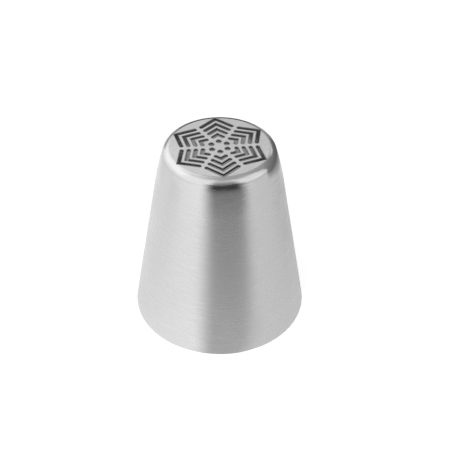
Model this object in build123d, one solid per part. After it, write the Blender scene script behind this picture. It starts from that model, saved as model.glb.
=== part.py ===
from build123d import *

import os
from dataclasses import dataclass
from math import acos, atan2, cos, degrees, hypot, pi, radians, sin, sqrt

# A conical sheet steel piping nozzle, standing on its wide mouth with its pierced face up.
# All lengths are in millimetres and all angles in degrees, and +Z is the axis of the cone.

# Shell of the nozzle
BASE_DIAMETER = 35.0
HEIGHT = 38.5
SHEET = 0.5
FACE_DIAMETER = 18.8
SHOULDER_RADIUS = 1.6
CROWN_RADIUS = 54.0
CROWN_SWEEP = 7.2

# Weld in the groove between the square edge of the cap and the bevelled edge of the sleeve
WELD_WIDTH = 0.4
WELD_ROOT_WIDTH = 0.2

# Star of nested V-shaped slots. The middle line of the outer slot stays a margin inside the flat face.
ARMS = 6
SLOTS_PER_ARM = 4
STAR_MARGIN = 0.15
INNER_APEX_RADIUS = 3.955
SLOT_LEG_ANGLE = 48.4
SLOT_WIDTH = 0.7
SLOT_END_SHARE = 0.7
ARM_BRIDGE = 0.79
STAR_TURN = 5.1

# Ring of small holes at the middle of the star
HOLE_COUNT = 6
HOLE_RING_DIAMETER = 3.38
HOLE_DIAMETER = 1.02

# How far every cut runs past the face
CUT_OVERRUN = 0.4

FULL_TURN = 360
UPRIGHT = 90


@dataclass(frozen=True)
class Arc:
    """An arc of the outer profile, seen in the plane through the axis."""

    radius: float
    centre_r: float
    centre_z: float

    def point(self, tilt, depth=0.0):
        """The point where the surface's normal is tilted up by tilt, at a depth under the outer surface."""
        reach = self.radius - depth
        return self.centre_r + reach * cos(radians(tilt)), self.centre_z + reach * sin(radians(tilt))


def wall_tilt():
    """The tilt of the straight wall, from which the crown and the shoulder follow without a kink.

    The wall passes through the edge of the base and touches the crown arc, which itself touches the
    shoulder arc, so the distance of the wall's line from the shoulder's centre is known.
    """
    reach = (BASE_DIAMETER - FACE_DIAMETER) / 2
    rise = HEIGHT - SHOULDER_RADIUS
    gap = CROWN_RADIUS - (CROWN_RADIUS - SHOULDER_RADIUS) * cos(radians(CROWN_SWEEP))
    return degrees(acos(gap / hypot(reach, rise)) - atan2(rise, reach))


WALL_TILT = wall_tilt()
SHOULDER_TILT = WALL_TILT + CROWN_SWEEP

SHOULDER = Arc(SHOULDER_RADIUS, FACE_DIAMETER / 2, HEIGHT - SHOULDER_RADIUS)
CROWN = Arc(
    CROWN_RADIUS,
    SHOULDER.centre_r - (CROWN_RADIUS - SHOULDER_RADIUS) * cos(radians(SHOULDER_TILT)),
    SHOULDER.centre_z - (CROWN_RADIUS - SHOULDER_RADIUS) * sin(radians(SHOULDER_TILT)),
)

# Tilt of the surface at the lower edge of the weld, outside and at the root
WELD_FOOT_TILT = SHOULDER_TILT - degrees(WELD_WIDTH / CROWN_RADIUS)
ROOT_FOOT_TILT = SHOULDER_TILT - degrees(WELD_ROOT_WIDTH / (CROWN_RADIUS - SHEET))


def outer_arc(arc, start_tilt, end_tilt):
    """The stretch of an arc of the outer profile between two tilts."""
    middle_tilt = (start_tilt + end_tilt) / 2
    return ThreePointArc(arc.point(start_tilt), arc.point(middle_tilt), arc.point(end_tilt))


def inner_chords(arc, start_tilt, end_tilt):
    """Two chords that follow an arc of the profile on the inside of the sheet."""
    tilts = (start_tilt, (start_tilt + end_tilt) / 2, end_tilt)
    points = [arc.point(tilt, SHEET) for tilt in tilts]
    return [Line(points[0], points[1]), Line(points[1], points[2])]


def turned(*edges):
    """A solid of revolution about the axis, from the closed outline of its section."""
    section = make_face(Plane.XZ * Wire(edges))
    return revolve(section, Axis.Z, FULL_TURN)


def on_base(depth):
    """The radius where the wall, at a depth under its outer surface, meets the plane of the base."""
    return BASE_DIAMETER / 2 - depth / cos(radians(WALL_TILT))


def cone_sleeve():
    """The conical sleeve: straight wall and gentle crown, bevelled above for the weld and cut square below."""
    outer_foot = (on_base(0.0), 0)
    inner_foot = (on_base(SHEET), 0)
    return turned(
        outer_arc(CROWN, WELD_FOOT_TILT, WALL_TILT),
        Line(CROWN.point(WALL_TILT), outer_foot),
        Line(outer_foot, inner_foot),
        Line(inner_foot, CROWN.point(WALL_TILT, SHEET)),
        *inner_chords(CROWN, WALL_TILT, ROOT_FOOT_TILT),
        Line(CROWN.point(ROOT_FOOT_TILT, SHEET), CROWN.point(WELD_FOOT_TILT)),
    )


def blank_cap():
    """The cap before its slots are cut: flat face and rounded shoulder, with a square edge for the weld."""
    outer_middle = (0, HEIGHT)
    inner_middle = (0, HEIGHT - SHEET)
    return turned(
        Line(outer_middle, SHOULDER.point(UPRIGHT)),
        outer_arc(SHOULDER, UPRIGHT, SHOULDER_TILT),
        Line(SHOULDER.point(SHOULDER_TILT), SHOULDER.point(SHOULDER_TILT, SHEET)),
        *inner_chords(SHOULDER, SHOULDER_TILT, UPRIGHT),
        Line(SHOULDER.point(UPRIGHT, SHEET), inner_middle),
        Line(inner_middle, outer_middle),
    )


def slot_outline(apex_radius):
    """The outline of one V-shaped slot with a mitred apex on +Y and rounded ends.

    Each leg runs from the apex until its end is half a bridge away from the line midway to the next arm,
    so every slot stops at the same bridge between the arms.
    """
    leg = radians(SLOT_LEG_ANGLE)
    half_arm = pi / ARMS
    half_width = SLOT_WIDTH / 2
    end_gap = ARM_BRIDGE / 2 + half_width
    leg_length = (apex_radius * sin(half_arm) - end_gap) / sin(half_arm + leg)
    end_radius = SLOT_END_SHARE * SLOT_WIDTH
    end_rise = end_radius - sqrt(end_radius**2 - half_width**2)
    along = (sin(leg), -cos(leg))
    across = (cos(leg), sin(leg))
    end = (leg_length * along[0], apex_radius + leg_length * along[1])

    def from_end(outward, onward):
        """The point at a distance across and along the leg from the middle of its end."""
        x = end[0] + outward * across[0] + onward * along[0]
        y = end[1] + outward * across[1] + onward * along[1]
        return x, y

    def mirrored(point):
        """The same point on the other leg."""
        return -point[0], point[1]

    outer_apex = (0, apex_radius + half_width / sin(leg))
    inner_apex = (0, apex_radius - half_width / sin(leg))
    outer_end = from_end(half_width, half_width - end_rise)
    tip = from_end(0, half_width)
    inner_end = from_end(-half_width, half_width - end_rise)
    return make_face(
        Wire(
            [
                Line(outer_apex, outer_end),
                ThreePointArc(outer_end, tip, inner_end),
                Line(inner_end, inner_apex),
                Line(inner_apex, mirrored(inner_end)),
                ThreePointArc(mirrored(inner_end), mirrored(tip), mirrored(outer_end)),
                Line(mirrored(outer_end), outer_apex),
            ]
        )
    )


def slot_cutters():
    """The tools for every slot of the star, from the outer ring of slots to the inner one."""
    outer_apex_radius = FACE_DIAMETER / 2 - STAR_MARGIN
    pitch = (outer_apex_radius - INNER_APEX_RADIUS) / (SLOTS_PER_ARM - 1)
    tools = []
    for ring in range(SLOTS_PER_ARM):
        tool = extrude(slot_outline(outer_apex_radius - ring * pitch), HEIGHT + CUT_OVERRUN)
        for arm in range(ARMS):
            tools.append(Rot(0, 0, STAR_TURN + arm * FULL_TURN / ARMS) * tool)
    return tools


def hole_cutters():
    """The tools for the ring of small holes, one on the middle line of each arm."""
    tool = Pos(0, HOLE_RING_DIAMETER / 2, 0) * extrude(Circle(HOLE_DIAMETER / 2), HEIGHT + CUT_OVERRUN)
    return [Rot(0, 0, STAR_TURN + hole * FULL_TURN / HOLE_COUNT) * tool for hole in range(HOLE_COUNT)]


def slotted_cap():
    """The cap with its star of slots and ring of holes cut through the flat face."""
    return blank_cap() - slot_cutters() - hole_cutters()


def seam_weld():
    """The ring of weld metal that fills the groove, flush with the sheet on both sides."""
    return turned(
        Line(CROWN.point(SHOULDER_TILT), CROWN.point(WELD_FOOT_TILT)),
        Line(CROWN.point(WELD_FOOT_TILT), CROWN.point(ROOT_FOOT_TILT, SHEET)),
        Line(CROWN.point(ROOT_FOOT_TILT, SHEET), CROWN.point(SHOULDER_TILT, SHEET)),
        Line(CROWN.point(SHOULDER_TILT, SHEET), CROWN.point(SHOULDER_TILT)),
    )


NODES = {
    "cone_sleeve": cone_sleeve,
    "slotted_cap": slotted_cap,
    "seam_weld": seam_weld,
}


def main():
    """Write one STEP file for each piece."""
    os.makedirs("parts", exist_ok=True)
    for name, build in NODES.items():
        export_step(build(), f"parts/{name}.step")
    weld_drop = HEIGHT - CROWN.point(WELD_FOOT_TILT)[1]
    print(f"wall tilt {WALL_TILT:.2f} degrees, lower edge of the weld {weld_drop:.2f} mm under the face")


main()
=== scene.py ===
"""Looks of a conical sheet-steel piping nozzle with a pierced face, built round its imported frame.

Shapes are worked out in millimetres and become metres when a mesh is filled. +Z is the axis, from
the wide mouth to the pierced face. An azimuth is measured round the axis from -Y, where the camera
stands, towards +X. A tilt is the angle of a surface's normal above the horizontal.
"""

import logging
from collections.abc import Sequence
from dataclasses import dataclass
from enum import Enum
from functools import reduce
from math import acos, atan2, cos, degrees, hypot, pi, radians, sin, tan
from typing import Any

import bpy
import numpy as np
from bpy.types import Material, Node, NodeSocket as Socket, Object, World
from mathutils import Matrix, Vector
from mathutils.geometry import delaunay_2d_cdt


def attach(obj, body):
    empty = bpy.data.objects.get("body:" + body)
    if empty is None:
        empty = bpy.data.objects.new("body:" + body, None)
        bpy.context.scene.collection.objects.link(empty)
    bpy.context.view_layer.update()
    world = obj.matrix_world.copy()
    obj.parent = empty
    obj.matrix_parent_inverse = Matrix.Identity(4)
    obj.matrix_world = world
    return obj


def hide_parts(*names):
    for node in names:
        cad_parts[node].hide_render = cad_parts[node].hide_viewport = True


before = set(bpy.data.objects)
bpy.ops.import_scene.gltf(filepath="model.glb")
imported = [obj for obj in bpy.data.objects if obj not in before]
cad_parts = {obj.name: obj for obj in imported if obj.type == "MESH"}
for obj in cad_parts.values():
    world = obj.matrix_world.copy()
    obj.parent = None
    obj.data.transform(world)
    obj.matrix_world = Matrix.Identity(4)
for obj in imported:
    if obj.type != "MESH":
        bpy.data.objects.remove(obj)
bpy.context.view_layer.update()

LOG = logging.getLogger("nozzle")

MM = 0.001
BODY = "root"

# Points that lie nearer than this, in millimetres, become one vertex of a mesh
WELD_STEP = 1e-5
# The same for the triangulation of the face, and its option to keep every triangle
PLAN_STEP = 1e-6
WHOLE_HULL = 0

# Angles in degrees
DOWN = -90
QUARTER_TURN = 90
HALF_TURN = 180
FULL_TURN = 360

# Roughness of every noise, and the parts of its seed that shift it along x, y and z
NOISE_ROUGHNESS = 0.62
SEED_PARTS = (1, 3, 7)
# Numbers of the sockets of a Mix node that hold its two colours and its result
MIX_COLOURS = (6, 7)
MIX_RESULT = 2
# Turn of the long axis of a highlight from the radial tangent, as a share of a full turn
HIGHLIGHT_TURN = 0.25

Point = tuple[float, float]
Triple = tuple[float, float, float]
Quad = tuple[float, float, float, float]
Array = np.ndarray


# ---- Surfaces ----


class Side(Enum):
    """A side of the sheet. Its value is 1 where the metal faces outwards and -1 where inwards."""

    OUTSIDE = 1
    INSIDE = -1


@dataclass(frozen=True)
class Patch:
    """A stretch of surface in millimetres, with the normal and the wear at each of its points.

    A wear of 1 marks a rubbed edge. A cut of 1 marks metal that was never finished and is drawn
    darker: the heat tint beside the weld, and the wall that the punch leaves, which is raw metal
    with painted shade of the slot.
    """

    points: Array
    normals: Array
    faces: Array
    wear: float | Array = 0.0
    cut: float | Array = 0.0

    def faces_outwards(self) -> Array:
        """Wind each face so that it faces the way of the normals at its corners.

        Returns:
            The faces, turned round where the cross product of a face's diagonals points against
            the sum of those normals.
        """
        corners = self.points[self.faces]
        first = corners[:, 2] - corners[:, 0]
        second = corners[:, -1] - corners[:, 1]
        across = np.cross(first, second)
        against = np.einsum("ij,ij->i", across, self.normals[self.faces].sum(axis=1)) < 0
        return np.where(against[:, None], self.faces[:, ::-1], self.faces)


def even_angles(count: int) -> Array:
    """Return the even angles of a full turn, in radians."""
    return np.arange(count) * (2 * pi / count)


def circle(count: int) -> Array:
    """Return even points on the unit circle in plan, the first on +X."""
    angles = even_angles(count)
    return np.column_stack([np.cos(angles), np.sin(angles)])


def grid_faces(rows: int, columns: int, closed: bool) -> Array:
    """Return the four-cornered faces between the points of a grid.

    Args:
        rows: Number of rows of points.
        columns: Number of points in a row.
        closed: Whether the last column joins the first.

    Returns:
        One row of four point numbers for each face.
    """
    index = np.arange(rows * columns).reshape(rows, columns)
    onward = np.roll(index, -1, axis=1)
    if not closed:
        index, onward = index[:, :-1], onward[:, :-1]
    return np.stack([index[:-1], onward[:-1], onward[1:], index[1:]], axis=-1).reshape(-1, 4)


def revolve(
    stations: Array, segments: int, wear: float | Array = 0.0, cut: float | Array = 0.0
) -> Patch:
    """Turn the stations of a profile about the axis.

    A point is (r cos a, r sin a, z) and its normal (cos t cos a, cos t sin a, sin t), for each
    station (r, z, t) and each of the even angles a of a full turn.

    Args:
        stations: Rows of radius, height and tilt of the normal in radians.
        segments: Number of angles in the turn.
        wear: Wear at the stations, from 0 to 1.
        cut: Rawness of the metal at the stations, from 0 to 1.

    Returns:
        The closed band of surface.
    """
    ring = np.column_stack([circle(segments), np.ones(segments)])
    r, z, tilt = stations.T
    points = np.stack([r, r, z], axis=1)[:, None] * ring
    normals = np.stack([np.cos(tilt), np.cos(tilt), np.sin(tilt)], axis=1)[:, None] * ring
    marks = (np.broadcast_to(mark, len(stations)).repeat(segments) for mark in (wear, cut))
    faces = grid_faces(len(stations), segments, closed=True)
    return Patch(points.reshape(-1, 3), normals.reshape(-1, 3), faces, *marks)


def straight(start: Point, end: Point, tilt: float, count: int = 2) -> Array:
    """Return even stations of a straight line of the profile, with one tilt in degrees."""
    line = np.linspace(start, end, count)
    return np.column_stack([line, np.full(count, radians(tilt))])


def link(name: str, data: bpy.types.ID) -> Object:
    """Put a new object into the scene.

    Args:
        name: Name of the object.
        data: The mesh, lamp or camera that it shows.

    Returns:
        The object.
    """
    thing = bpy.data.objects.new(name, data)
    bpy.context.scene.collection.objects.link(thing)
    return thing


def fill_piece(name: str, patches: Sequence[Patch]) -> Object:
    """Join patches into one mesh object, merging the points that they share.

    Points that agree to within the weld step become one vertex. Each corner of a face keeps the
    normal of its own patch, so an edge is sharp where two patches meet at an angle.

    Args:
        name: Name of the object and its mesh.
        patches: The patches, in millimetres.

    Returns:
        The object, at the origin.
    """
    points = np.concatenate([patch.points for patch in patches])
    normals = np.concatenate([patch.normals for patch in patches])
    counts = [len(patch.points) for patch in patches]
    starts = np.cumsum([0] + counts[:-1])
    faces = [patch.faces_outwards() + start for patch, start in zip(patches, starts)]
    corners = np.concatenate([part.ravel() for part in faces])
    sizes = np.concatenate([np.full(len(part), part.shape[1]) for part in faces])
    steps = np.round(points / WELD_STEP).astype(np.int64)
    _, first, merged = np.unique(steps, axis=0, return_index=True, return_inverse=True)
    mesh = bpy.data.meshes.new(name)
    mesh.vertices.add(len(first))
    mesh.vertices.foreach_set("co", (points[first] * MM).ravel())
    mesh.loops.add(len(corners))
    mesh.loops.foreach_set("vertex_index", merged.ravel()[corners].astype(np.int32))
    mesh.polygons.add(len(sizes))
    mesh.polygons.foreach_set("loop_start", (np.cumsum(sizes) - sizes).astype(np.int32))
    mesh.update(calc_edges=True)
    marks = {"wear": [patch.wear for patch in patches], "cut": [patch.cut for patch in patches]}
    for mark, parts in marks.items():
        values = np.concatenate([np.broadcast_to(*pair) for pair in zip(parts, counts)])
        layer = mesh.attributes.new(mark, "FLOAT", "CORNER")
        layer.data.foreach_set("value", values[corners])
    mesh.shade_smooth()
    mesh.normals_split_custom_set(normals[corners].tolist())
    if mesh.validate():
        LOG.warning("%s had faces that don't hold together", name)
    return link(name, mesh)


# ---- Profile of the nozzle ----


@dataclass(frozen=True)
class Arc:
    """An arc of the outer profile, seen in the plane through the axis."""

    radius: float
    centre_r: float
    centre_z: float

    def point(self, tilt: float, depth: float = 0.0) -> Point:
        """Return the point where the normal has a tilt in degrees, at a depth under the arc."""
        reach, angle = self.radius - depth, radians(tilt)
        return self.centre_r + reach * cos(angle), self.centre_z + reach * sin(angle)

    def stations(
        self, start: float, end: float, count: int, depth: float = 0.0, side: Side = Side.OUTSIDE
    ) -> Array:
        """Return the stations of a stretch of the arc.

        A station is the arc's centre plus its radius, less the depth, times (cos t, sin t).

        Args:
            start: Tilt at the first station, in degrees.
            end: Tilt at the last station, in degrees.
            count: Number of stations.
            depth: Depth under the outer surface.
            side: Side of the sheet. The normals of the inside point to the centre.

        Returns:
            Rows of radius, height and tilt of the normal in radians.
        """
        tilts = np.radians(np.linspace(start, end, count))
        reach = self.radius - depth
        r = self.centre_r + reach * np.cos(tilts)
        z = self.centre_z + reach * np.sin(tilts)
        return np.column_stack([r, z, tilts + (pi if side is Side.INSIDE else 0.0)])


@dataclass(frozen=True)
class Profile:
    """The section of the nozzle's sheet: a straight wall, a gentle crown and a tight shoulder."""

    base_diameter: float = 35.0
    height: float = 38.5
    sheet: float = 0.5
    face_diameter: float = 18.8
    shoulder_radius: float = 1.6
    crown_radius: float = 54.0
    crown_sweep: float = 7.2
    weld_width: float = 0.4
    weld_root_width: float = 0.2

    @property
    def wall_tilt(self) -> float:
        """Work out the tilt of the wall, which passes the edge of the base and touches the crown.

        The wall's line keeps a gap from the shoulder's centre, which is the crown's radius less
        the difference of the radii times the cosine of the sweep. The gap over the distance from
        that centre to the edge is the cosine of an angle, and the tilt is this angle less the
        slope from the centre to the edge.

        Returns:
            The tilt in degrees.
        """
        reach = (self.base_diameter - self.face_diameter) / 2
        rise = self.height - self.shoulder_radius
        lead = self.crown_radius - self.shoulder_radius
        gap = self.crown_radius - lead * cos(radians(self.crown_sweep))
        return degrees(acos(gap / hypot(reach, rise)) - atan2(rise, reach))

    @property
    def shoulder_tilt(self) -> float:
        """Tilt where the crown meets the shoulder."""
        return self.wall_tilt + self.crown_sweep

    @property
    def shoulder(self) -> Arc:
        """The tight arc between the face and the crown."""
        return Arc(self.shoulder_radius, self.face_diameter / 2, self.height - self.shoulder_radius)

    @property
    def crown(self) -> Arc:
        """Work out the wide arc between the shoulder and the wall.

        Its centre lies behind the shoulder's, along the normal where the two arcs meet, by the
        difference of their radii.

        Returns:
            The arc.
        """
        lead = self.crown_radius - self.shoulder_radius
        centre_r = self.shoulder.centre_r - lead * cos(radians(self.shoulder_tilt))
        centre_z = self.shoulder.centre_z - lead * sin(radians(self.shoulder_tilt))
        return Arc(self.crown_radius, centre_r, centre_z)

    @property
    def weld_foot_tilt(self) -> float:
        """Tilt at the lower edge of the weld, outside."""
        return self.shoulder_tilt - degrees(self.weld_width / self.crown_radius)

    @property
    def root_foot_tilt(self) -> float:
        """Tilt at the lower edge of the weld, inside."""
        return self.shoulder_tilt - degrees(self.weld_root_width / (self.crown_radius - self.sheet))

    def depth(self, side: Side) -> float:
        """Return how deep a side of the sheet lies under the outer surface."""
        return self.sheet if side is Side.INSIDE else 0.0

    def on_base(self, depth: float) -> float:
        """Return the radius where the wall, at a depth, meets the plane of the base."""
        return self.base_diameter / 2 - depth / cos(radians(self.wall_tilt))


def facing_tilt(start: Point, end: Point) -> float:
    """Return the tilt, in degrees, of the normal to the left of a line of the profile."""
    return degrees(atan2(end[0] - start[0], start[1] - end[1]))


# ---- Finishes ----


class Pattern(Enum):
    """A pattern of noise on the metal, as the number of its finer octaves and its seed."""

    STROKES = (4.0, 3.0)
    BANDS = (3.0, 11.0)
    CLOUDS = (2.0, 23.0)
    GRAIN = (2.0, 37.0)
    PITS = (1.0, 51.0)


def grey(level: float) -> Quad:
    """Return the solid colour of a grey level."""
    return level, level, level, 1.0


class Bench:
    """The node tree of one material or world, with short ways to add and join nodes."""

    def __init__(self, owner: Material | World) -> None:
        """Keep the owner, switch its nodes on and empty its tree.

        Args:
            owner: The material or world that the nodes are for.
        """
        self.owner = owner
        owner.use_nodes = True
        owner.node_tree.nodes.clear()

    def add(self, kind: str, inputs: dict[str | int, Any] | None = None, **settings: Any) -> Node:
        """Add a node.

        Args:
            kind: Type name of the node, after "ShaderNode".
            inputs: A number, colour or vector for each input, or the output socket that feeds it.
            **settings: Values of the node's own settings.

        Returns:
            The node.
        """
        tree = self.owner.node_tree
        node = tree.nodes.new(f"ShaderNode{kind}")
        for key, value in settings.items():
            setattr(node, key, value)
        for key, value in (inputs or {}).items():
            if isinstance(value, Socket):
                tree.links.new(value, node.inputs[key])
            else:
                node.inputs[key].default_value = value
        return node

    def maths(self, operation: str, *values: Socket | float) -> Socket:
        """Return the output of a Math node for one, two or three values or sockets."""
        return self.add("Math", dict(enumerate(values)), operation=operation).outputs[0]

    def product(self, *values: Socket | float) -> Socket:
        """Return the product of values or sockets, multiplied from the first to the last."""
        return reduce(lambda first, second: self.maths("MULTIPLY", first, second), values)

    def vector(self, operation: str, *values: Socket | Triple) -> Socket:
        """Return the number that a Vector Math node works out from one or two vectors."""
        node = self.add("VectorMath", dict(enumerate(values)), operation=operation)
        return node.outputs["Value"]

    def attribute(self, name: str) -> Socket:
        """Return the value of an attribute of the mesh."""
        return self.add("Attribute", attribute_name=name).outputs["Fac"]

    def noise(self, size: Triple, pattern: Pattern) -> Socket:
        """Return noise on Object coordinates.

        Args:
            size: Length of a feature along x, y and z, in millimetres.
            pattern: The pattern, which gives the octaves and the seed.

        Returns:
            The noise, from 0 to 1 about a mean of a half.
        """
        octaves, seed = pattern.value
        place = self.add("TexCoord").outputs["Object"]
        scale = [1 / (side * MM) for side in size]
        shift = [seed / part for part in SEED_PARTS]
        mapping = self.add("Mapping", {"Vector": place, "Scale": scale, "Location": shift})
        shape = {"Scale": 1.0, "Detail": octaves, "Roughness": NOISE_ROUGHNESS}
        texture = self.add("TexNoise", {"Vector": mapping.outputs[0], **shape})
        return texture.outputs["Fac"]

    def ramp(self, value: Socket, span: Point, start: float, end: float) -> Socket:
        """Return a number eased from start to end over a span of a value, and held beyond it."""
        inputs = {"Value": value, 1: span[0], 2: span[1], 3: start, 4: end}
        return self.add("MapRange", inputs, interpolation_type="SMOOTHSTEP").outputs[0]

    def blend(self, factor: Socket, first: Socket | float, second: Socket | float) -> Socket:
        """Mix two colours.

        Args:
            factor: Share of the second colour, from 0 to 1.
            first: The first colour, or its grey level.
            second: The second colour, or its grey level.

        Returns:
            The first colour times one less the factor, plus the second times the factor.
        """
        ends = [end if isinstance(end, Socket) else grey(end) for end in (first, second)]
        inputs = {0: factor, **dict(zip(MIX_COLOURS, ends))}
        return self.add("Mix", inputs, data_type="RGBA").outputs[MIX_RESULT]

    def bump(self, height: Socket, depth: float, under: Socket | None = None) -> Socket:
        """Lean the normal by the slope of marks.

        Args:
            height: Height of the marks, from 0 to 1.
            depth: Their depth in millimetres.
            under: Normal of the surface that they lie on, if it isn't the mesh's own.

        Returns:
            The normal.
        """
        inputs = {"Height": height, "Distance": depth * MM, "Strength": 1.0}
        if under is not None:
            inputs["Normal"] = under
        return self.add("Bump", inputs).outputs[0]

    def mix(self, factor: Socket, first: Node, second: Node) -> Node:
        """Return a shader between two shaders, by a factor from 0 to 1."""
        ends = {1: first.outputs[0], 2: second.outputs[0]}
        return self.add("MixShader", {0: factor, **ends})

    def finish(self, shader: Node) -> Material | World:
        """Feed a shader to the output, and return the material or the world."""
        self.add(f"Output{type(self.owner).__name__}", {"Surface": shader.outputs[0]})
        return self.owner


@dataclass(frozen=True)
class SteelFinish:
    """A finish of bare stainless steel. All lengths are in millimetres.

    A stroke and a band have a length round the axis and a width along it. The weights are those
    of strokes, bands and clouds. The polish is two heights and the share of the roughness that is
    left at each. The worn shares are how far wear changes colour and roughness.
    """

    name: str
    tint: float
    tint_spread: float
    roughness: float
    roughness_spread: float
    anisotropy: float
    stroke: Point
    stroke_depth: float
    band: Point
    band_depth: float
    grain: float
    grain_depth: float
    cloud: Triple = (7.0, 7.0, 9.0)
    weights: Triple = (0.4, 0.35, 0.25)
    mark_span: Point = (0.3, 0.7)
    polish: Quad = (0.0, 1.0, 1.0, 1.0)
    polish_ragged: float = 1.2
    streaks: float = 0.0
    streak_span: Point = (0.49, 0.62)
    worn_tint: float = 0.86
    worn_shares: Point = (0.6, 0.35)
    pits: float = 0.0
    pit_size: float = 0.11
    pit_span: Point = (0.70, 0.78)
    pit_tint: float = 0.3
    pit_depth: float = 0.004
    # Colour of unfinished metal; on the punched walls it is also painted shade of the slots
    cut_tint: float = 0.27
    cut_roughness: float = 0.42
    inside_share: float = 0.35
    inside_span: Point = (-1e-4, 0.0)

    def polished(self, bench: Bench, strokes: Socket, bands: Socket) -> Socket:
        """Work out the share of the roughness that the polish leaves.

        It eases between two heights, along an edge that the strokes make ragged. Streaks of the
        bands take it back towards 1.

        Args:
            bench: The material's nodes.
            strokes: Noise of the strokes.
            bands: Noise of the bands.

        Returns:
            The share.
        """
        place = bench.add("TexCoord").outputs["Object"]
        height = bench.add("SeparateXYZ", {0: place}).outputs["Z"]
        low, high, share_low, share_high = self.polish
        reach = (high - low) * self.polish_ragged * MM
        ragged = bench.maths("MULTIPLY_ADD", strokes, reach, height)
        share = bench.ramp(ragged, (low * MM, high * MM), share_low, share_high)
        streaks = bench.ramp(bands, self.streak_span, 0.0, self.streaks)
        return bench.maths("MULTIPLY_ADD", streaks, bench.maths("SUBTRACT", 1.0, share), share)

    def material(self) -> Material:
        """Build the finish from nodes.

        Brush strokes, broad bands, clouds and grain are noise on Object coordinates, strokes and
        bands being long round the axis. They vary the colour and the roughness and raise the bump.
        The wear attribute brightens and smooths the metal, and the cut attribute turns it raw:
        darker and rougher, which on the punched walls is partly painted shade. It is smoother
        inside, which is where the normal points towards the origin.

        Returns:
            The material.
        """
        bench = Bench(bpy.data.materials.new(self.name))
        strokes = bench.noise((self.stroke[0], *self.stroke), Pattern.STROKES)
        bands = bench.noise((self.band[0], *self.band), Pattern.BANDS)
        clouds = bench.noise(self.cloud, Pattern.CLOUDS)
        wear = bench.attribute("wear")
        parts = zip((strokes, bands, clouds), self.weights)
        first, second, third = (bench.product(*part) for part in parts)
        marks = bench.maths("ADD", bench.maths("ADD", first, second), third)

        shade = bench.ramp(marks, self.mark_span, 0.0, 1.0)
        colour = bench.blend(shade, self.tint - self.tint_spread, self.tint + self.tint_spread)
        rubbed = bench.product(wear, self.worn_shares[0])
        colour = bench.blend(rubbed, colour, self.worn_tint)

        spread = self.roughness_spread
        rough = bench.ramp(marks, self.mark_span, self.roughness + spread, self.roughness - spread)
        worn = bench.maths("SUBTRACT", 1.0, bench.product(wear, self.worn_shares[1]))
        polished = self.polished(bench, strokes, bands)
        place = bench.add("TexCoord").outputs
        facing = bench.vector("DOT_PRODUCT", place["Object"], place["Normal"])
        inside = bench.ramp(facing, self.inside_span, self.inside_share, 1.0)
        rough = bench.product(rough, worn, polished, inside)

        normal = bench.bump(bands, self.band_depth)
        normal = bench.bump(strokes, self.stroke_depth, normal)
        grain = bench.noise((self.grain,) * 3, Pattern.GRAIN)
        normal = bench.bump(grain, self.grain_depth, normal)
        if self.pits:
            spots = bench.noise((self.pit_size,) * 3, Pattern.PITS)
            pits = bench.ramp(spots, self.pit_span, 0.0, 1.0)
            colour = bench.blend(bench.product(pits, self.pits), colour, self.pit_tint)
            normal = bench.bump(bench.product(pits, -1.0), self.pit_depth, normal)

        # Unfinished metal, darker and rougher: heat tint by the weld, and on the punched walls raw
        # metal with painted shade
        unworn = bench.maths("SUBTRACT", 1.0, wear)
        cut_and_shade_share = bench.product(bench.attribute("cut"), unworn)
        colour = bench.blend(cut_and_shade_share, colour, self.cut_tint)
        rise = bench.maths("SUBTRACT", self.cut_roughness, rough)
        rough = bench.maths("MULTIPLY_ADD", cut_and_shade_share, rise, rough)

        tangent = bench.add("Tangent", direction_type="RADIAL", axis="Z").outputs[0]
        steel = {"Base Color": colour, "Metallic": 1.0, "Roughness": rough, "Normal": normal}
        brushed = {"Anisotropic": self.anisotropy, "Anisotropic Rotation": HIGHLIGHT_TURN}
        shader = bench.add("BsdfPrincipled", {**steel, **brushed, "Tangent": tangent})
        return bench.finish(shader)


BRUSHED_SLEEVE = SteelFinish(
    name="brushed_sleeve",
    tint=0.72, tint_spread=0.022,
    roughness=0.30, roughness_spread=0.08,
    anisotropy=0.6,
    stroke=(1.8, 0.22), stroke_depth=0.0004,
    band=(4.0, 0.4), band_depth=0.0004,
    grain=0.09, grain_depth=0.0003,
    polish=(33.1, 37.9, 1.0, 0.28),
    streaks=0.7,
)
SATIN_CAP = SteelFinish(
    name="satin_cap",
    tint=0.74, tint_spread=0.04,
    roughness=0.17, roughness_spread=0.03,
    anisotropy=0.1,
    stroke=(1.2, 0.08), stroke_depth=0.0010,
    band=(3.0, 0.6), band_depth=0.004,
    grain=0.07, grain_depth=0.0008,
    polish=(38.42, 38.53, 0.72, 1.0),
    pits=0.35,
)
WELD_METAL = SteelFinish(
    name="weld_metal",
    tint=0.68, tint_spread=0.04,
    roughness=0.11, roughness_spread=0.03,
    anisotropy=0.4,
    stroke=(1.6, 0.06), stroke_depth=0.0015,
    band=(2.2, 0.3), band_depth=0.003,
    grain=0.06, grain_depth=0.0006,
)


def dress(piece: Object, finish: SteelFinish, node: str) -> None:
    """Give a piece its finish, tie it to the body and let it stand for its CAD node.

    Args:
        piece: The finished piece.
        finish: Its finish, named as the record's material slot.
        node: Name of the CAD node that it replaces.
    """
    mesh = piece.data
    mesh.materials.append(finish.material())
    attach(piece, BODY)
    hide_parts(node)
    LOG.info("%s: %d vertices, %d faces", piece.name, len(mesh.vertices), len(mesh.polygons))


# ---- Conical sleeve ----


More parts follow.
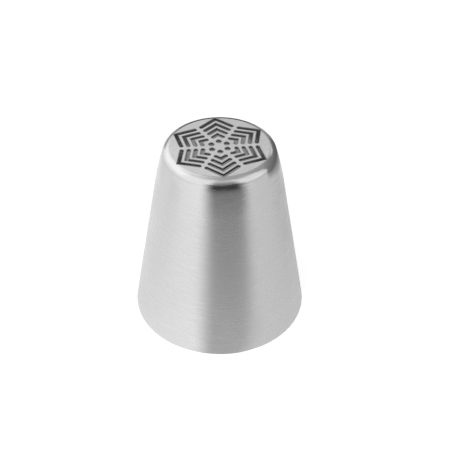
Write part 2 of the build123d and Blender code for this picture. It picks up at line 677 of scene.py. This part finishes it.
@dataclass(frozen=True)
class ConeSleeve:
    """The conical sleeve: crown and wall, bevelled above for the weld, with a trimmed rim below.

    The heat tint inside grows over a span of the crown, as shares of the way up to the weld.
    """

    profile: Profile
    rim_round: float = 0.12
    rim_wear: float = 0.8
    heat_tint: float = 0.9
    heat_span: Point = (0.40, 0.70)
    segments: int = 384
    wall_rows: int = 24
    crown_rows: int = 20
    round_rows: int = 7

    def patches(self) -> list[Patch]:
        """Work out the sleeve's surface.

        The section runs down the outside, round the rim and up the inside. The rim's edges are
        arcs that touch the wall and the plane of the base, with their centres one rim round above
        that plane.

        Returns:
            The patches, each turned about the axis.
        """
        profile, crown, sheet = self.profile, self.profile.crown, self.profile.sheet
        lean, foot, root = profile.wall_tilt, profile.weld_foot_tilt, profile.root_foot_tilt
        back = lean - HALF_TURN
        slope, slant = tan(radians(lean)), 1 / cos(radians(lean))
        drop = self.rim_round
        outer = Arc(drop, profile.on_base(0.0) - drop * slope - drop * slant, drop)
        inner = Arc(drop, profile.on_base(sheet) - drop * slope + drop * slant, drop)
        inner_wall = (inner.point(back), crown.point(lean, sheet))
        bevel = (crown.point(root, sheet), crown.point(foot))
        sections = [
            (crown.stations(foot, lean, self.crown_rows), 0.0),
            (straight(crown.point(lean), outer.point(lean), lean, self.wall_rows), 0.0),
            (outer.stations(lean, DOWN, self.round_rows), self.rim_wear),
            (straight(outer.point(DOWN), inner.point(DOWN), DOWN), self.rim_wear),
            (inner.stations(DOWN, back, self.round_rows), self.rim_wear),
            (straight(*inner_wall, lean + HALF_TURN, self.wall_rows), 0.0),
            (straight(*bevel, facing_tilt(*bevel)), 0.0),
        ]
        inside = crown.stations(lean, root, self.crown_rows, sheet, Side.INSIDE)
        way_up = np.linspace(0, 1, self.crown_rows)
        heat = self.heat_tint * np.interp(way_up, self.heat_span, (0, 1))
        found = [revolve(stations, self.segments, wear) for stations, wear in sections]
        return found + [revolve(inside, self.segments, cut=heat)]

    def build(self) -> None:
        """Make the sleeve."""
        dress(fill_piece("brushed_cone", self.patches()), BRUSHED_SLEEVE, "cone_sleeve")


# ---- Star of openings ----


@dataclass(frozen=True)
class Run:
    """A smooth stretch of an opening's outline.

    Each point is its spine plus its reach times a half width of the opening.
    """

    spine: Array
    reach: Array
    outward: Array

    def at(self, half_width: float) -> Array:
        """Return the points for a half width of the opening."""
        return self.spine + half_width * self.reach

    def moved(self, matrix: Array) -> "Run":
        """Return the run turned or mirrored in plan by a 2 by 2 matrix."""
        return Run(self.spine @ matrix.T, self.reach @ matrix.T, self.outward @ matrix.T)

    def backwards(self) -> "Run":
        """Return the run from its end to its start."""
        return Run(self.spine[::-1], self.reach[::-1], self.outward[::-1])


@dataclass(frozen=True)
class Opening:
    """A slot or hole through the face, as the runs of its closed outline."""

    half_width: float
    runs: tuple[Run, ...]

    def outline(self, grow: float) -> Array:
        """Return the closed outline in plan, grown by a distance, without its last point."""
        return np.concatenate([run.at(self.half_width + grow)[:-1] for run in self.runs])


def within(openings: Sequence[Opening], points: Array, grow: float) -> Array:
    """Tell which plan points lie inside any opening, grown by a distance.

    A point is inside where a ray from it along x crosses an outline an odd number of times.

    Args:
        openings: The openings.
        points: Points in plan.
        grow: Distance that the outlines are grown by.

    Returns:
        True for each point inside.
    """
    x, y = points[:, :1], points[:, 1:]
    inside = np.zeros(len(points), bool)
    for opening in openings:
        start = opening.outline(grow)
        end = np.roll(start, -1, axis=0)
        spans = (start[:, 1] > y) != (end[:, 1] > y)
        rise = np.where(end[:, 1] == start[:, 1], 1.0, end[:, 1] - start[:, 1])
        meets = start[:, 0] + (y - start[:, 1]) * (end[:, 0] - start[:, 0]) / rise
        inside |= (spans & (x < meets)).sum(axis=1) % 2 == 1
    return inside


def turn(angle: float) -> Array:
    """Return the matrix of a turn in plan by an angle in degrees."""
    cosine, sine = cos(radians(angle)), sin(radians(angle))
    return np.array([[cosine, -sine], [sine, cosine]])


@dataclass(frozen=True)
class Star:
    """The star of nested V-shaped slots round a ring of small holes."""

    arms: int = 6
    slots_per_arm: int = 4
    margin: float = 0.15
    inner_apex_radius: float = 3.955
    leg_angle: float = 48.4
    slot_width: float = 0.7
    arm_bridge: float = 0.79
    turn: float = 5.1
    hole_count: int = 6
    hole_ring_diameter: float = 3.38
    hole_diameter: float = 1.02
    leg_steps: int = 12
    end_steps: int = 12
    hole_steps: int = 40

    def slot(self, apex_radius: float) -> list[Run]:
        """Work out the outline of the slot whose apex is on +Y.

        The middle line of a leg runs from the apex to an end that keeps half a bridge and half a
        width from the line midway to the next arm. A side is that line plus a half width across
        it, mitred at the apex, and an end is a half circle.

        Args:
            apex_radius: Radius of the apex of the middle line.

        Returns:
            The six runs: side, end and side of one leg, and the same of the other leg, mirrored.
        """
        leg, half_arm = radians(self.leg_angle), pi / self.arms
        along, across = np.array([sin(leg), -cos(leg)]), np.array([cos(leg), sin(leg)])
        mitre = np.array([0.0, 1 / sin(leg)])
        gap = (self.arm_bridge + self.slot_width) / 2
        length = (apex_radius * sin(half_arm) - gap) / sin(half_arm + leg)
        apex = np.array([0.0, apex_radius])
        end = apex + length * along
        spine = np.linspace(apex, end, self.leg_steps + 1)
        reach = np.linspace(mitre, across, self.leg_steps + 1)
        outer = Run(spine, reach, np.tile(across, (len(spine), 1)))
        inner = Run(spine, -outer.reach, -outer.outward).backwards()
        angles = np.linspace(0, pi, self.end_steps + 1)[:, None]
        way = np.cos(angles) * across + np.sin(angles) * along
        tip = Run(np.tile(end, (len(way), 1)), way, way)
        right = [outer, tip, inner]
        mirror = np.diag([-1.0, 1.0])
        return right + [run.moved(mirror).backwards() for run in reversed(right)]

    def hole(self) -> Run:
        """Work out the outline of the hole on +Y, a circle about its middle.

        Returns:
            The circle as one run, which ends where it starts.
        """
        angles = np.linspace(0, 2 * pi, self.hole_steps + 1)
        way = np.column_stack([np.cos(angles), np.sin(angles)])
        way[-1] = way[0]
        return Run(np.tile([0.0, self.hole_ring_diameter / 2], (len(way), 1)), way, way)

    def openings(self, face_diameter: float) -> list[Opening]:
        """Return every slot and hole.

        Args:
            face_diameter: Diameter of the flat face, whose edge the outer apex keeps a margin from.

        Returns:
            The openings, from the outer slots to the holes.
        """
        outer = face_diameter / 2 - self.margin
        apexes = np.linspace(outer, self.inner_apex_radius, self.slots_per_arm)
        forms = [(self.slot_width, self.arms, self.slot(apex)) for apex in apexes]
        forms.append((self.hole_diameter, self.hole_count, [self.hole()]))
        found = []
        for width, count, runs in forms:
            for place in range(count):
                matrix = turn(self.turn + FULL_TURN / count * place)
                found.append(Opening(width / 2, tuple(run.moved(matrix) for run in runs)))
        return found


# ---- Slotted cap ----


@dataclass(frozen=True)
class SlottedCap:
    """The cap: flat pierced face and rounded shoulder, with a square edge below for the weld.

    It is triangulated in plan out to the plan radius, and turned about the axis beyond that.
    """

    profile: Profile
    star: Star
    edge_drop: float = 0.05
    edge_width: float = 0.13
    edge_rows: int = 7
    edge_wear: float = 0.8
    edge_wear_power: int = 4
    wall_wear: float = 0.15
    heat_tint: float = 0.9
    clear_band: float = 0.05
    plan_radius: float = 10.1
    ring_step: float = 0.1
    ring_points: int = 192
    ring_clearance: float = 0.28
    segments: int = 384
    shoulder_rows: int = 22

    def lift(self, plan: Array, side: Side) -> tuple[Array, Array]:
        """Raise plan points to the sheet's surface.

        The surface is flat up to the face's edge and follows the shoulder arc beyond it: the
        height is the arc centre's, plus the root of the squared reach less the squared distance
        past the edge.

        Args:
            plan: Points in plan.
            side: Side of the sheet.

        Returns:
            The heights and the normals.
        """
        arc = self.profile.shoulder
        reach = arc.radius - self.profile.depth(side)
        radius = np.hypot(plan[:, 0], plan[:, 1])
        past = np.maximum(radius - arc.centre_r, 0.0)
        rise = np.sqrt(reach**2 - past**2)
        way = plan / np.maximum(radius, WELD_STEP)[:, None]
        normals = np.column_stack([way * past[:, None], rise]) / reach
        return arc.centre_z + rise, side.value * normals

    def plan(self, openings: Sequence[Opening]) -> tuple[Array, Array]:
        """Triangulate the face in plan, with the openings left out.

        A Delaunay triangulation joins the outer circle, each opening's outline at the top of its
        rolled edge, the same outline grown by a clear band, and rings on the shoulder that keep a
        clearance from the openings. Triangles whose middle lies in an opening are dropped.

        Args:
            openings: The slots and holes.

        Returns:
            The points and the triangles.
        """
        loops = [self.plan_radius * circle(self.segments)]
        for opening in openings:
            loops += [opening.outline(self.edge_width + band) for band in (0.0, self.clear_band)]
        starts = np.cumsum([0] + [len(loop) for loop in loops])
        spans = [np.arange(start, end) for start, end in zip(starts[:-1], starts[1:])]
        edges = np.concatenate([np.column_stack([span, np.roll(span, -1)]) for span in spans])
        face_radius = self.profile.face_diameter / 2
        for radius in np.arange(face_radius, self.plan_radius - WELD_STEP, self.ring_step):
            loop = radius * circle(self.ring_points)
            loops.append(loop[~within(openings, loop, self.ring_clearance)])
        points = np.concatenate(loops)
        places = [Vector(point) for point in points.tolist()]
        found = delaunay_2d_cdt(places, edges.tolist(), [], WHOLE_HULL, PLAN_STEP, True)
        _, _, triangles, sources, *_ = found
        faces = np.array([first[0] for first in sources])[np.array(triangles)]
        void = within(openings, points[faces].mean(axis=1), self.edge_width)
        return points, faces[~void]

    def wall(self, opening: Opening, run: Run) -> Patch:
        """Work out the wall of an opening along one run, with a rolled edge at each side.

        The punch drags the sheet down over a quarter ellipse. For a turn f from 0 to a right
        angle, a point of the edge is grown by the edge's width times (1 - sin f) and lies its drop
        times (1 - cos f) under the face. Its normal is the width times cos f along the face's
        normal plus the drop times sin f into the opening. The lower edge mirrors the upper one.
        Wear follows a power of sin 2f outside, so it is strongest on the bend.

        Args:
            opening: The opening.
            run: One run of its outline.

        Returns:
            The wall, from the top of the upper edge to the bottom of the lower one.
        """
        turns = np.radians(np.linspace(0, QUARTER_TURN, self.edge_rows + 1))
        into = np.column_stack([-run.outward, np.zeros(len(run.outward))])
        points, normals, wear = [], [], []
        for side, angles in ((Side.OUTSIDE, turns), (Side.INSIDE, turns[::-1])):
            for angle in angles:
                plan = run.at(opening.half_width + self.edge_width * (1 - sin(angle)))
                height, facing = self.lift(plan, side)
                sink = side.value * self.edge_drop * (1 - cos(angle))
                points.append(np.column_stack([plan, height - sink]))
                lean = self.edge_width * cos(angle) * facing + self.edge_drop * sin(angle) * into
                normals.append(lean / np.linalg.norm(lean, axis=1, keepdims=True))
                worn = self.wall_wear
                if side is Side.OUTSIDE:
                    bend = self.edge_wear * sin(2 * angle) ** self.edge_wear_power
                    worn = max(bend, self.wall_wear * sin(angle))
                wear.append(np.full(len(plan), worn))
        faces = grid_faces(len(points), len(into), closed=False)
        points, normals, wear = (np.concatenate(rows) for rows in (points, normals, wear))
        # Marked as cut, the wall is drawn dark: raw punched metal with painted shade of the slot
        return Patch(points, normals, faces, wear, cut=1.0)

    def patches(self) -> list[Patch]:
        """Work out the cap's surface: face and shoulder on both sides, edge and opening walls.

        Returns:
            The patches.
        """
        profile, arc = self.profile, self.profile.shoulder
        foot = profile.shoulder_tilt
        openings = self.star.openings(profile.face_diameter)
        plan, faces = self.plan(openings)
        found = []
        for side, tinted in ((Side.OUTSIDE, 0.0), (Side.INSIDE, self.heat_tint)):
            height, normals = self.lift(plan, side)
            found.append(Patch(np.column_stack([plan, height]), normals, faces))
            depth = profile.depth(side)
            top = degrees(acos((self.plan_radius - arc.centre_r) / (arc.radius - depth)))
            stations = arc.stations(top, foot, self.shoulder_rows, depth, side)
            found.append(revolve(stations, self.segments, cut=tinted))
        edge = straight(arc.point(foot), arc.point(foot, profile.sheet), foot - QUARTER_TURN)
        found.append(revolve(edge, self.segments))
        return found + [self.wall(opening, run) for opening in openings for run in opening.runs]

    def build(self) -> None:
        """Make the cap."""
        dress(fill_piece("pierced_cap", self.patches()), SATIN_CAP, "slotted_cap")


# ---- Seam weld ----


@dataclass(frozen=True)
class SeamWeld:
    """The ring of weld metal: dressed a little hollow outside, with a rippled root bead inside.

    Each wave of the hollow is a number of waves in a full turn, which is its phase as well, and a
    share of the depth.
    """

    profile: Profile
    hollow: float = 0.002
    hollow_waves: tuple[tuple[int, float], ...] = ((11, 0.25), (37, 0.2), (97, 0.15))
    bead: float = 0.08
    ripples: int = 132
    ripple_share: float = 0.25
    segments: int = 1056
    rows: int = 11

    def band(self, start: float, end: float, swell: Array, side: Side) -> Patch:
        """Work out one rippled side of the weld.

        A point lies on the crown arc at the side's depth plus the swell times 4 s (1 - s), where s
        runs from 0 to 1 across the band. Normals are the cross product of the differences to the
        neighbours.

        Args:
            start: Tilt at the upper edge, in degrees.
            end: Tilt at the lower edge, in degrees.
            swell: How much deeper the middle is at each angle round the axis.
            side: Side of the sheet.

        Returns:
            The closed band.
        """
        crown = self.profile.crown
        share = np.linspace(0, 1, self.rows)[:, None]
        tilt = np.radians(start + (end - start) * share)
        reach = crown.radius - self.profile.depth(side) - swell * 4 * share * (1 - share)
        angles = even_angles(self.segments)
        r = crown.centre_r + reach * np.cos(tilt)
        z = crown.centre_z + reach * np.sin(tilt)
        points = np.stack([r * np.cos(angles), r * np.sin(angles), z], axis=-1)
        down = np.gradient(points, axis=0)
        round_axis = np.roll(points, -1, axis=1) - np.roll(points, 1, axis=1)
        normals = np.cross(round_axis, down)
        normals /= np.linalg.norm(normals, axis=-1, keepdims=True)
        outwards = points[..., 0] * normals[..., 0] + points[..., 1] * normals[..., 1]
        normals *= (side.value * np.where(outwards > 0, 1.0, -1.0))[..., None]
        faces = grid_faces(self.rows, self.segments, closed=True)
        return Patch(points.reshape(-1, 3), normals.reshape(-1, 3), faces)

    def patches(self) -> list[Patch]:
        """Work out the weld: hollow outside, bead inside and the two flanks against the sheets.

        Returns:
            The patches.
        """
        profile, crown = self.profile, self.profile.crown
        top, foot, root = profile.shoulder_tilt, profile.weld_foot_tilt, profile.root_foot_tilt
        angles = even_angles(self.segments)
        waves = sum(share * np.cos(count * angles + count) for count, share in self.hollow_waves)
        beads = 1 + self.ripple_share * np.cos(self.ripples * angles)
        upper = (crown.point(top), crown.point(top, profile.sheet))
        lower = (crown.point(foot), crown.point(root, profile.sheet))
        return [
            self.band(top, foot, self.hollow * (1 + waves), Side.OUTSIDE),
            self.band(top, root, self.bead * beads, Side.INSIDE),
            revolve(straight(*upper, top + QUARTER_TURN), self.segments),
            revolve(straight(*lower, facing_tilt(*lower)), self.segments),
        ]

    def build(self) -> None:
        """Make the weld."""
        dress(fill_piece("dressed_weld", self.patches()), WELD_METAL, "seam_weld")


# ---- Studio ----


def stage_object(name: str, points: Array, faces: list[list[int]], material: Material) -> Object:
    """Make a mesh object that belongs to the studio.

    Args:
        name: Name of the object and its mesh.
        points: The points, in millimetres.
        faces: The faces, as point numbers.
        material: Its material.

    Returns:
        The object.
    """
    mesh = bpy.data.meshes.new(name)
    mesh.from_pydata((points * MM).tolist(), [], faces)
    mesh.materials.append(material)
    thing = link(name, mesh)
    return thing


@dataclass(frozen=True)
class Card:
    """A card round the nozzle that only its reflections see.

    Its inner and outer edges are given as radius and height, and its glow along each of them from
    the first azimuth to the last. The soft shares are how much of it fades at its first, last,
    inner and outer edge.
    """

    name: str
    azimuths: Point
    inner: Point
    outer: Point
    glow: tuple[Point, Point]
    soft: Quad
    centre: Point = (0.0, 0.0)
    rows: int = 33
    columns: int = 97

    def build(self, material: Material) -> None:
        """Make the card.

        A point is (r sin a, -r cos a, z) from the card's centre, for an azimuth a across the card
        and (r, z) along the line from its inner to its outer edge. The glow runs evenly between
        the corners. The cover is the product, over the edges, of 3 f squared less 2 f cubed, where
        f grows from 0 at the edge to 1 across its soft share.

        Args:
            material: Material that reads the glow and the cover.
        """
        size = (self.rows, self.columns)
        along, across = np.linspace(0, 1, self.rows)[:, None], np.linspace(0, 1, self.columns)
        azimuth = np.radians(np.linspace(*self.azimuths, self.columns))
        ends = zip(self.inner, self.outer)
        r, z = (np.broadcast_to(start + (end - start) * along, size) for start, end in ends)
        x = self.centre[0] + r * np.sin(azimuth)
        y = self.centre[1] - r * np.cos(azimuth)
        cover = np.ones(size)
        for share, soft in zip((across, 1 - across, along, 1 - along), self.soft):
            if soft:
                fade = np.clip(share / soft, 0, 1)
                cover = cover * fade**2 * (3 - 2 * fade)
        near, far = (first + (last - first) * across for first, last in self.glow)
        glow = near + (far - near) * along
        points = np.stack([x, y, z], axis=-1).reshape(-1, 3)
        card = stage_object(self.name, points, grid_faces(*size, closed=False).tolist(), material)
        for name, values in (("glow", glow), ("cover", cover)):
            layer = card.data.attributes.new(name, "FLOAT", "POINT")
            layer.data.foreach_set("value", values.ravel())
        for rays in ("camera", "diffuse", "transmission", "shadow"):
            setattr(card, f"visible_{rays}", False)


@dataclass(frozen=True)
class Studio:
    """The pale floor, the white surroundings, the cards, the lamp and the camera.

    The far floor is two radii and the glow that grows between them. The inside spread is two
    distances from its centre, between which the painted light under the nozzle fades to painted
    shade. Only the nozzle's metal mirrors that light.
    """

    profile: Profile
    camera_elevation: float = 39.64
    camera_distance: float = 212.3
    camera_sensor: float = 36.0
    camera_clip: Point = (0.01, 10.0)
    lens: float = 84.5
    shift: Point = (0.0121, -0.0009)
    floor_radius: float = 900.0
    floor_drop: float = 0.02
    floor_colour: float = 0.8
    floor_glow: float = 0.62
    floor_ease: float = 0.4
    floor_segments: int = 96
    near_radius: float = 40.0
    near_rings: int = 21
    far_radius: float = 45.0
    far_rings: int = 24
    far_floor: Triple = (250.0, 700.0, 0.13)
    # Painted light and painted shade under the nozzle, seen only in the metal's reflections
    inside_glow: float = 0.26
    inside_dark: float = 0.02
    inside_spread: Point = (40.8, 42.6)
    inside_centre: Triple = (-1.0, -34.0, 0.0)
    ambient: float = 0.30
    lamp_azimuth: float = -30.0
    lamp_elevation: float = 72.0
    lamp_distance: float = 600.0
    lamp_side: float = 420.0
    lamp_power: float = 1.2

    def seen(self, bench: Bench) -> Socket:
        """Tell the rays that a viewer sees by, straight or mirrored, from those that light.

        Args:
            bench: The nodes of the material or world.

        Returns:
            1 for camera, glossy and transmission rays, and 0 for the others.
        """
        path = bench.add("LightPath").outputs
        seen = bench.maths("MAXIMUM", path["Is Camera Ray"], path["Is Glossy Ray"])
        return bench.maths("MAXIMUM", seen, path["Is Transmission Ray"])

    def build_world(self) -> None:
        """Make the surroundings: white where seen or mirrored, and a soft ambient light."""
        bench = Bench(bpy.data.worlds.new("white_room"))
        ambient, white = (
            bench.add("Background", {"Color": grey(1.0), "Strength": strength})
            for strength in (self.ambient, 1.0)
        )
        bpy.context.scene.world = bench.finish(bench.mix(self.seen(bench), ambient, white))

    def floor_material(self) -> Material:
        """Build the floor's material, which is clear from below.

        Its diffuse colour takes the lamp and keeps the shadow. A glow that only camera, glossy and
        transmission rays see lifts it to white outside the nozzle. The glow under the nozzle is a
        weaker painted light that only glossy rays see, fading to painted shade away from its
        centre.

        Returns:
            The material.
        """
        bench = Bench(bpy.data.materials.new("pale_floor"))
        place = bench.add("TexCoord").outputs["Object"]
        radius = bench.vector("LENGTH", place)
        # Painted light under the nozzle, bright towards the camera's side and fading to painted
        # shade behind
        spread = bench.vector("DISTANCE", place, [side * MM for side in self.inside_centre])
        lit, unlit = (reach * MM for reach in self.inside_spread)
        inside = bench.ramp(spread, (lit, unlit), self.inside_glow, self.inside_dark)
        edge = self.profile.on_base(self.profile.sheet) * MM
        outside = bench.ramp(radius, (edge, edge + self.floor_ease * MM), 0.0, self.floor_glow)
        start, end, lift = self.far_floor
        far = bench.ramp(radius, (start * MM, end * MM), 0.0, lift)
        outside = bench.maths("ADD", outside, far)
        mirrored = bench.add("LightPath").outputs["Is Glossy Ray"]
        painted_inside_light = bench.product(inside, mirrored)
        strength = bench.maths("MULTIPLY_ADD", outside, self.seen(bench), painted_inside_light)
        glow = bench.add("Emission", {"Strength": strength}).outputs[0]
        colour = grey(self.floor_colour)
        diffuse = bench.add("BsdfDiffuse", {"Color": colour}).outputs[0]
        both = bench.add("AddShader", {0: glow, 1: diffuse})
        below = bench.add("NewGeometry").outputs["Backfacing"]
        clear = bench.add("BsdfTransparent")
        return bench.finish(bench.mix(below, both, clear))

    def build_floor(self) -> None:
        """Make the floor, a disc of rings about the axis with a fan at its middle."""
        near = np.linspace(0, self.near_radius, self.near_rings)[1:]
        far = np.geomspace(self.far_radius, self.floor_radius, self.far_rings)
        radii, count = np.concatenate([near, far]), self.floor_segments
        ring = np.column_stack([circle(count), np.zeros(count)])
        rings = (radii[:, None, None] * ring).reshape(-1, 3)
        points = np.concatenate([np.zeros((1, 3)), rings])
        points[:, 2] -= self.floor_drop
        first = np.arange(1, count + 1)
        fan = np.column_stack([np.zeros(count, int), first, np.roll(first, -1)])
        quads = grid_faces(len(radii), count, closed=True)[:, ::-1] + 1
        faces = fan.tolist() + quads.tolist()
        stage_object("pale_floor", points, faces, self.floor_material())

    def card_material(self) -> Material:
        """Build the cards' material, which glows by one attribute and covers by another.

        Returns:
            The material.
        """
        bench = Bench(bpy.data.materials.new("studio_card"))
        clear = bench.add("BsdfTransparent")
        lit = bench.add("Emission", {"Strength": bench.attribute("glow")})
        return bench.finish(bench.mix(bench.attribute("cover"), clear, lit))

    def build_cards(self) -> None:
        """Make the cards that the metal mirrors."""
        material = self.card_material()
        for card in CARDS:
            card.build(material)

    def build_lamp(self) -> None:
        """Make the soft overhead lamp, which faces the middle of the base and isn't mirrored."""
        data = bpy.data.lights.new("overhead_lamp", "AREA")
        data.size = self.lamp_side * MM
        data.energy = self.lamp_power
        azimuth, elevation = radians(self.lamp_azimuth), radians(self.lamp_elevation)
        flat = cos(elevation)
        way = Vector((sin(azimuth) * flat, -cos(azimuth) * flat, sin(elevation)))
        lamp = link("overhead_lamp", data)
        lamp.location = way * self.lamp_distance * MM
        lamp.rotation_euler = way.to_track_quat("Z", "Y").to_euler()
        lamp.visible_glossy = False

    def build_camera(self) -> None:
        """Make the camera at the photograph's angle, distance and framing."""
        data = bpy.data.cameras.new("camera")
        data.sensor_width = self.camera_sensor
        data.lens = self.lens
        data.shift_x, data.shift_y = self.shift
        data.clip_start, data.clip_end = self.camera_clip
        camera = link("camera", data)
        elevation = radians(self.camera_elevation)
        back = self.camera_distance * cos(elevation)
        rise = self.profile.height / 2 + self.camera_distance * sin(elevation)
        camera.location = (0.0, -back * MM, rise * MM)
        camera.rotation_euler = (pi / 2 - elevation, 0.0, 0.0)
        bpy.context.scene.camera = camera

    def build(self) -> None:
        """Make the whole studio."""
        self.build_world()
        self.build_floor()
        self.build_cards()
        self.build_lamp()
        self.build_camera()
        bpy.context.scene.view_settings.view_transform = "Standard"


# The room that the metal mirrors. Some cards overlap, so that a soft edge hides a join.
CARDS = (
    Card("front_near", (-40, 61), (6, 0.08), (84, 0.08), ((0.55, 0.55), (0.31, 0.31)),
         (0.35, 0.24, 0, 0), (-1, -11.5)),
    Card("front_far", (-40, 61), (84, 0.08), (330, 0.08), ((0.31, 0.31), (0.24, 0.24)),
         (0.35, 0.24, 0, 0), (-1, -11.5)),
    Card("front_wall", (-59, 92), (164, 0), (174, 95), ((0.02, 0.02), (0.06, 0.06)),
         (0.28, 0.27, 0, 0.15), (0, -141)),
    Card("front_rise", (-22, 44), (330, 80), (260, 420), ((0.11, 0.10), (0.76, 0.70)),
         (0.26, 0.3, 0.12, 0)),
    Card("front_roof", (-22, 44), (10, 421), (270, 421), ((0.50, 0.50), (0.57, 0.57)),
         (0.26, 0.3, 0, 0)),
    Card("middle_roof", (-180, 180), (0, 420), (190, 420), ((0.36, 0.36), (0.60, 0.60)),
         (0, 0, 0, 0.62), (52, 22)),
    Card("left_roof", (-195, 0), (0, 422), (240, 422), ((0.70, 0.70), (0.86, 0.86)),
         (0.2, 0.2, 0, 0.35)),
    Card("right_front_roof", (30, 104), (0, 423), (360, 423), ((0.46, 0.46), (0.84, 0.84)),
         (0.2, 0.1, 0, 0)),
    Card("right_roof", (86, 199), (0, 424), (560, 424), ((0.46, 0.42), (0.26, 0.46)),
         (0.16, 0.16, 0, 0)),
    Card("right_near", (6, 130), (17.6, 0.07), (420, 0.07), ((0.76, 0.66), (0.84, 0.62)),
         (0.12, 0, 0, 0.1)),
    Card("right_behind", (130, 180), (17.6, 0.07), (420, 0.07), ((0.66, 0.90), (0.66, 0.90)),
         (0, 0, 0, 0.1)),
    Card("right_foot", (127, 186), (134, 0.09), (149, 0.09), ((0.56, 0.56), (0.08, 0.08)),
         (0.25, 0.2, 0.25, 0), (21, -83)),
    Card("left_near", (-92, -2), (17.6, 0.07), (420, 0.07), ((0.88, 1.10), (0.90, 1.12)),
         (0, 0.08, 0, 0.1)),
    Card("left_behind", (-180, -92), (17.6, 0.07), (75, 0.07), ((1.0, 0.88), (0.95, 0.86)),
         (0, 0, 0, 0)),
    Card("left_far", (-180, -92), (75, 0.07), (420, 0.07), ((0.72, 0.90), (0.72, 0.90)),
         (0, 0, 0, 0.1)),
    Card("left_dim", (-108, -58), (45, 0.08), (150, 0.08), ((0.82, 0.82), (0.82, 0.86)),
         (0.5, 0.5, 0.3, 0.2)),
    Card("right_wall", (127, 186), (148, 0), (153, 80), ((0.20, 0.05), (0.25, 0.16)),
         (0.05, 0.24, 0, 0.12), (21, -83)),
    Card("right_screen", (127, 173), (154, 70), (158, 145), ((0.25, 0.16), (0.31, 0.28)),
         (0.05, 0.3, 0.1, 0.2), (21, -83)),
    Card("right_side", (34, 82), (320, 20), (300, 330), ((0.94, 0.92), (0.98, 0.90)),
         (0.2, 0, 0.15, 0.15)),
    Card("right_end", (82, 118), (320, 20), (300, 330), ((0.92, 0.34), (0.90, 0.34)),
         (0, 0.3, 0.15, 0.15)),
    Card("back_floor", (156, 202), (60, 0.1), (330, 0.1), ((0.20, 0.20), (0.06, 0.06)),
         (0.45, 0.3, 0.2, 0)),
    Card("back_horizon", (156, 198), (322, 0), (322, 240), ((0.03, 0.03), (0.06, 0.06)),
         (0.5, 0.28, 0, 0.3)),
    Card("left_horizon", (184, 222), (326, 0), (326, 200), ((0.34, 0.34), (0.40, 0.40)),
         (0.2, 0.3, 0, 0.3)),
    Card("back_rise", (148, 208), (330, 190), (330, 360), ((0.42, 1.02), (0.48, 1.08)),
         (0.2, 0.3, 0.25, 0.12)),
    Card("left_softbox", (-165, -60), (300, 90), (240, 400), ((1.15, 1.2), (1.15, 1.2)),
         (0.2, 0.25, 0.2, 0.2)),
)


# ---- Whole nozzle ----


def main() -> None:
    """Build the nozzle's pieces and the studio."""
    logging.basicConfig(level=logging.INFO, format="%(message)s")
    profile = Profile()
    ConeSleeve(profile).build()
    SlottedCap(profile, Star()).build()
    SeamWeld(profile).build()
    Studio(profile).build()


if __name__ == "__main__":
    main()
